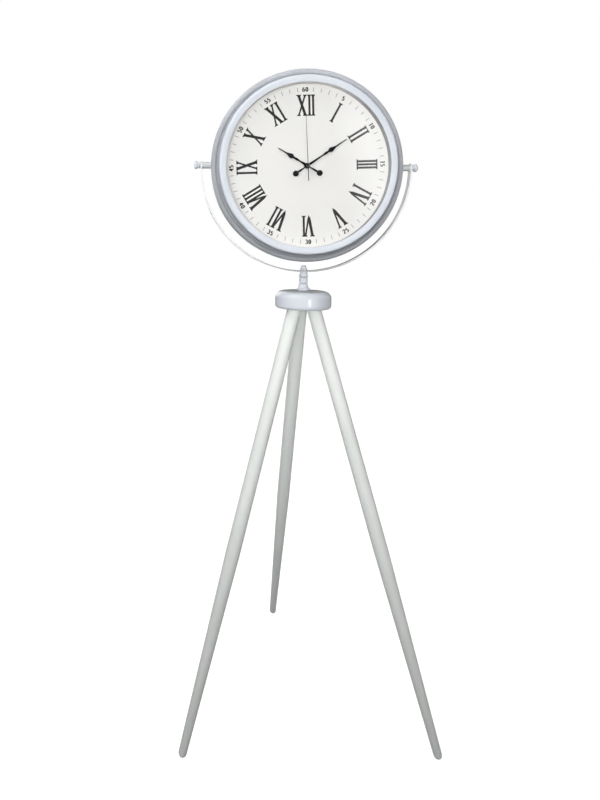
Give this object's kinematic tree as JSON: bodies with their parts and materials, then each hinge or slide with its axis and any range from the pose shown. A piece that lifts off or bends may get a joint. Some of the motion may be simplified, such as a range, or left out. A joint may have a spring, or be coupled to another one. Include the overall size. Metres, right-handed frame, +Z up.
{
  "type": "tripod floor clock",
  "caption": "White tripod floor clock: round roman-numeral dial in a moulded case, tilting in a half-round yoke that swivels on a short column over splayed tapered wooden legs.",
  "frame": {"origin": "on the floor, under the column's axis", "axes": "+Z up along the column, the dial faces -Y, +X to the right of a person facing the dial"},
  "size_m": [0.5592, 0.4867, 1.4859],
  "materials": {
    "hub_enamel": "gloss white enamel on a casting",
    "leg_paint": "satin white paint on turned wood",
    "column_enamel": "gloss white enamel on turned metal",
    "yoke_enamel": "gloss white enamel on flat bar",
    "case_enamel": "gloss white enamel on spun sheet",
    "spacer_enamel": "matt pale grey",
    "glass": "clear float glass",
    "dial_print": "matt printed card",
    "fibreboard": "raw fibreboard",
    "zinc_steel": "zinc plated",
    "nylon": "moulded nylon",
    "brass": "turned brass",
    "rubber": "sheet rubber",
    "black_plastic": "moulded, fine texture",
    "magnet": "sintered magnet",
    "copper_winding": "enamelled copper wire",
    "circuit_green": "solder mask",
    "cell_wrap": "plain printed sleeve",
    "hand_black": "satin black paint"
  },
  "bodies": {
    "stand": {"hub": "hub_enamel", "leg_front_left": "leg_paint", "leg_front_right": "leg_paint", "leg_rear": "leg_paint", "leg_bolts": "zinc_steel", "spindle": "column_enamel", "swivel_washer": "nylon", "column_rod": "zinc_steel", "cap_washer": "zinc_steel", "cap_nut": "column_enamel"},
    "yoke": {"yoke_strap": "yoke_enamel", "friction_washers": "nylon"},
    "head": {"case_ring": "case_enamel", "bezel": "case_enamel", "glass": "glass", "spacer_ring": "spacer_enamel", "dial_plate": "dial_print", "dial_board": "fibreboard", "retaining_brackets": "zinc_steel", "bracket_screws": "zinc_steel", "pivot_bolts": "zinc_steel", "pivot_sleeves": "column_enamel", "knob_washers": "zinc_steel", "movement_gasket": "rubber", "movement_housing": "black_plastic", "movement_cover": "black_plastic", "movement_bush": "brass", "dial_washer": "brass", "bush_nut": "brass", "train_plate": "nylon", "motor_stator": "zinc_steel", "motor_coil": "copper_winding", "circuit_board": "circuit_green", "quartz_can": "zinc_steel", "battery": "cell_wrap", "battery_contact_plus": "zinc_steel", "battery_contact_minus": "zinc_steel"},
    "left_knob": {"knob_left": "column_enamel"},
    "right_knob": {"knob_right": "column_enamel"},
    "minute": {"minute_arbor": "brass", "minute_hand": "hand_black", "hand_nut": "brass", "clutch_spring": "brass"},
    "hour": {"hour_wheel": "nylon", "hour_hand": "hand_black"},
    "setting": {"setting_wheel": "nylon", "set_knob": "black_plastic"},
    "seconds": {"second_wheel": "nylon", "second_hand": "hand_black"},
    "third": {"third_wheel": "nylon"},
    "centre": {"centre_wheel": "nylon"},
    "fourth": {"fourth_wheel": "nylon"},
    "rotor": {"motor_rotor": "magnet"}
  },
  "joints": [
    {"name": "yoke_swivel", "type": "hinge", "parent": "stand", "child": "yoke", "pos_m": [0, 0, 1.022], "axis": [0, 0, 1], "continuous": true},
    {"name": "clock_tilt", "type": "hinge", "parent": "yoke", "child": "head", "pos_m": [0, 0, 1.2655], "axis": [-1, 0, 0], "continuous": true},
    {"name": "left_knob_turn", "type": "hinge", "parent": "head", "child": "left_knob", "pos_m": [-0.25, 0, 1.2655], "axis": [-1, 0, 0], "range_deg": [0, 180]},
    {"name": "right_knob_turn", "type": "hinge", "parent": "head", "child": "right_knob", "pos_m": [0.25, 0, 1.2655], "axis": [1, 0, 0], "range_deg": [0, 180]},
    {"name": "minute_turn", "type": "hinge", "parent": "head", "child": "minute", "pos_m": [0, 0, 1.2655], "axis": [0, 1, 0], "continuous": true},
    {"name": "hour_turn", "type": "hinge", "parent": "head", "child": "hour", "pos_m": [0, 0, 1.2655], "axis": [0, 1, 0], "continuous": true},
    {"name": "setting_turn", "type": "hinge", "parent": "head", "child": "setting", "pos_m": [0, 0, 1.2547], "axis": [0, 1, 0], "continuous": true},
    {"name": "seconds_turn", "type": "hinge", "parent": "head", "child": "seconds", "pos_m": [0, 0, 1.2655], "axis": [0, 1, 0], "continuous": true},
    {"name": "third_turn", "type": "hinge", "parent": "head", "child": "third", "pos_m": [-0.00883, 0, 1.2706], "axis": [0, 1, 0], "continuous": true},
    {"name": "centre_turn", "type": "hinge", "parent": "head", "child": "centre", "pos_m": [0, 0, 1.2655], "axis": [0, 1, 0], "continuous": true},
    {"name": "fourth_turn", "type": "hinge", "parent": "head", "child": "fourth", "pos_m": [0.00624, 0, 1.2691], "axis": [0, 1, 0], "continuous": true},
    {"name": "rotor_turn", "type": "hinge", "parent": "head", "child": "rotor", "pos_m": [0.0116, 0, 1.2646], "axis": [0, 1, 0], "continuous": true}
  ],
  "couplings": [
    {"joint": "hour_turn", "follows": "minute_turn", "ratio": 0.083333},
    {"joint": "setting_turn", "follows": "minute_turn", "ratio": -0.33333},
    {"joint": "third_turn", "follows": "seconds_turn", "ratio": -0.13333},
    {"joint": "centre_turn", "follows": "seconds_turn", "ratio": 0.016667},
    {"joint": "fourth_turn", "follows": "seconds_turn", "ratio": -5},
    {"joint": "rotor_turn", "follows": "seconds_turn", "ratio": 30}
  ]
}
